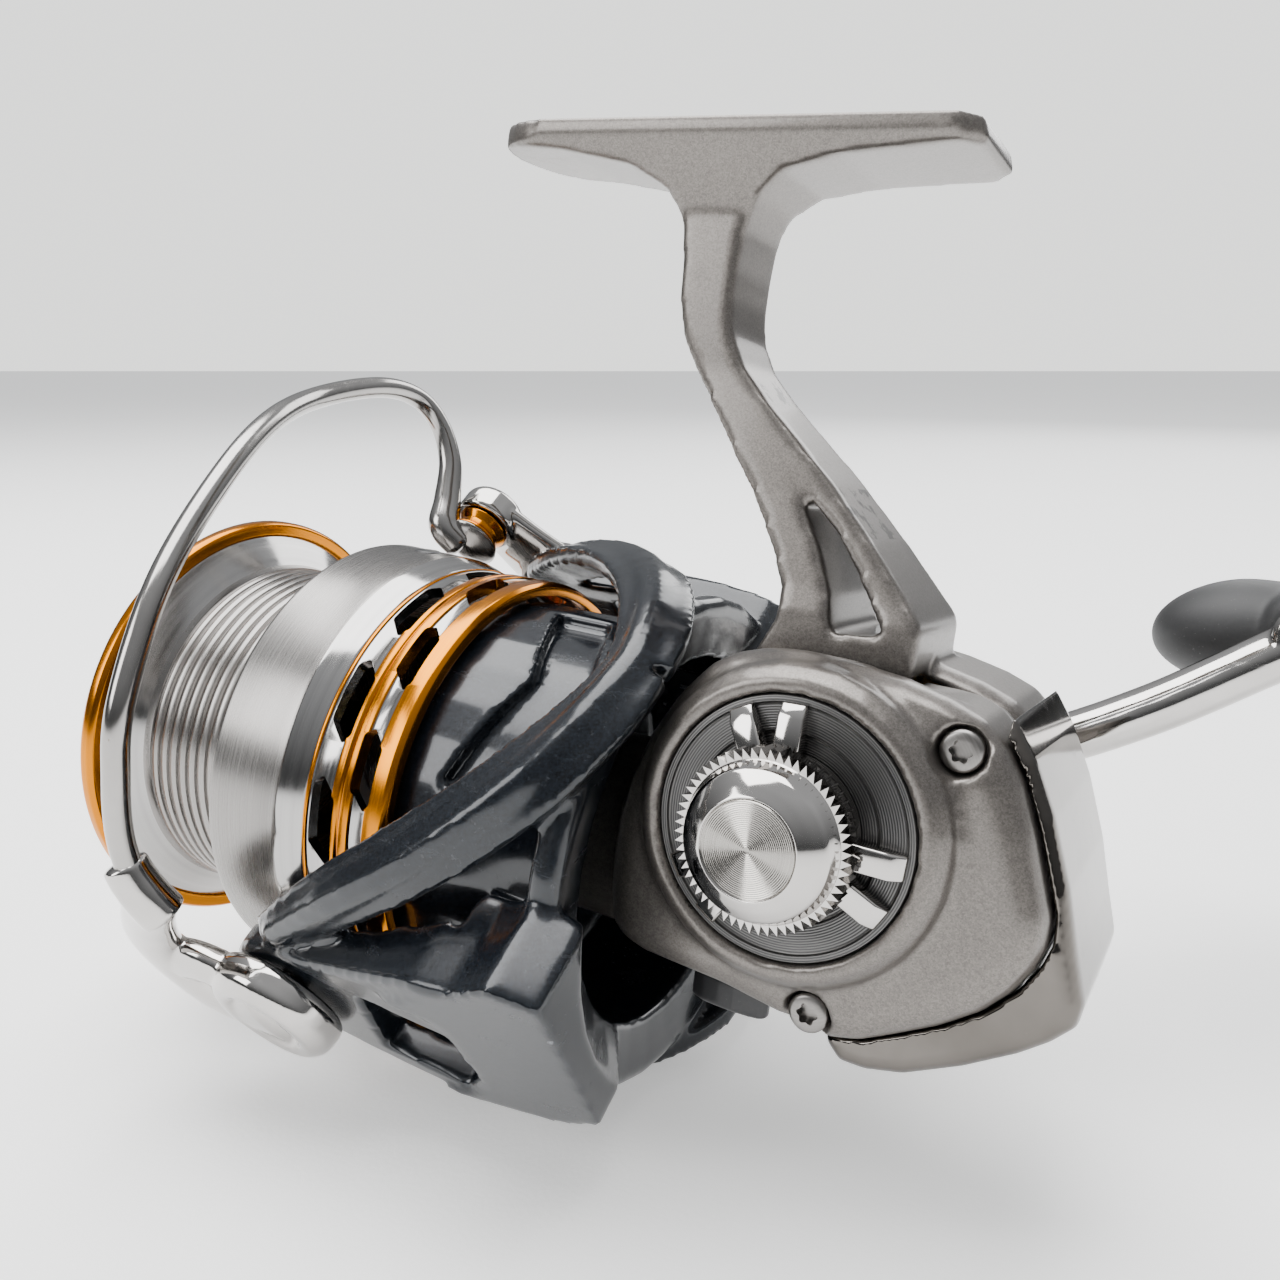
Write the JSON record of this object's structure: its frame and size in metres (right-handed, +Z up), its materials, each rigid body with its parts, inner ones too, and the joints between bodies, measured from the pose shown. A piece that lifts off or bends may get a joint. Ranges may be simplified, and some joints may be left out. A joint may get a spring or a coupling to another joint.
{
  "type": "spinning reel",
  "caption": "Spinning reel with a rod foot, split side covers, rotor with folding bail, ported spool with front drag, and a crank handle with a paddle knob.",
  "frame": {"origin": "middle of the foot's flat seat, where it lies on the rod", "axes": "+X to the rear along the main shaft, +Y to the handle side, +Z up out of the foot's flat seat"},
  "size_m": [0.1354, 0.0991, 0.096],
  "materials": {
    "body_paint": "warm silver-grey metallic, satin",
    "rotor_paint": "near-black pearl gloss",
    "disc_paint": "dark satin with fine rings",
    "spool_alloy": "turned and satin brushed",
    "gold_anodise": "orange-gold anodised, polished",
    "chrome": "polished",
    "smoked_chrome": "smoked, polished",
    "steel": "machined",
    "gear_brass": "machined, greased",
    "black_plastic": "moulded",
    "knob_rubber": "matte",
    "felt": "oiled felt"
  },
  "bodies": {
    "body": {"body_frame": "body_paint", "side_cover": "body_paint", "side_disc": "disc_paint", "fin_ring": "chrome", "cover_screw_1": "steel", "cover_screw_2": "steel", "rear_cover": "smoked_chrome", "drive_bearing_near": "steel", "drive_bearing_far": "steel", "pinion_bearing": "steel", "one_way_clutch": "gear_brass", "clutch_retainer": "black_plastic", "pinion_rear_bush": "gear_brass", "shaft_seal": "black_plastic"},
    "stopper": {"stopper_lever": "black_plastic"},
    "drive": {"drive_gear": "gear_brass", "drive_shaft": "steel", "handle_collar": "steel", "handle_arm": "chrome", "knob_shaft": "steel", "drive_cap": "chrome"},
    "knob": {"handle_knob": "knob_rubber", "knob_bush": "gear_brass", "knob_cap": "steel"},
    "crank": {"oscillation_gear": "gear_brass"},
    "rotor": {"rotor": "rotor_paint", "rotor_nut": "gear_brass", "pinion_gear": "gear_brass", "clutch_sleeve": "steel", "pivot_screw_near": "steel", "pivot_screw_far": "steel"},
    "bail": {"bail_holder": "chrome", "bail_wire": "chrome", "roller_lever": "chrome", "roller_screw": "steel"},
    "roller": {"line_roller": "gold_anodise"},
    "shaft": {"main_shaft": "steel", "oscillation_slider": "steel", "drag_press": "steel"},
    "spool": {"spool": "spool_alloy", "spool_lip": "gold_anodise", "spool_bush_1": "gear_brass", "spool_bush_2": "gear_brass", "line_clip": "black_plastic", "click_gear": "black_plastic", "drag_washer_1": "felt", "drag_washer_2": "steel", "drag_washer_3": "felt", "drag_washer_4": "steel", "drag_clip": "steel"},
    "drag": {"drag_knob": "spool_alloy", "drag_spring": "steel"}
  },
  "joints": [
    {"name": "handle_spin", "type": "hinge", "parent": "body", "child": "drive", "pos_m": [0.0195, 0, -0.0582], "axis": [0, 1, 0], "continuous": true},
    {"name": "rotor_spin", "type": "hinge", "parent": "body", "child": "rotor", "pos_m": [0, 0, -0.0674], "axis": [1, 0, 0], "continuous": true},
    {"name": "crank_spin", "type": "hinge", "parent": "body", "child": "crank", "pos_m": [0.0288, 0, -0.06329], "axis": [0, 1, 0], "continuous": true},
    {"name": "spool_stroke", "type": "slide", "parent": "body", "child": "shaft", "axis": [1, 0, 0], "range_m": [0, 0.0086]},
    {"name": "spool_spin", "type": "hinge", "parent": "shaft", "child": "spool", "pos_m": [0, 0, -0.0674], "axis": [1, 0, 0], "continuous": true},
    {"name": "drag_knob_turn", "type": "hinge", "parent": "shaft", "child": "drag", "pos_m": [0, 0, -0.0674], "axis": [1, 0, 0], "range_deg": [-150, 150]},
    {"name": "bail_hinge", "type": "hinge", "parent": "rotor", "child": "bail", "pos_m": [-0.0263, 0, -0.0674], "axis": [0, -0.766, -0.6428], "range_deg": [0, 105]},
    {"name": "line_roller_spin", "type": "hinge", "parent": "bail", "child": "roller", "pos_m": [-0.03571, -0.00649, -0.05967], "axis": [0, -0.766, -0.6428], "continuous": true},
    {"name": "knob_spin", "type": "hinge", "parent": "drive", "child": "knob", "pos_m": [0.0555, 0.045, -0.0401], "axis": [0, 1, 0], "continuous": true},
    {"name": "stopper_turn", "type": "hinge", "parent": "body", "child": "stopper", "pos_m": [0.011, -0.0045, -0.0745], "axis": [0, 0, 1], "range_deg": [-14, 14]}
  ],
  "couplings": [
    {"joint": "rotor_spin", "follows": "handle_spin", "ratio": 5.1667},
    {"joint": "crank_spin", "follows": "handle_spin", "ratio": -0.625}
  ]
}
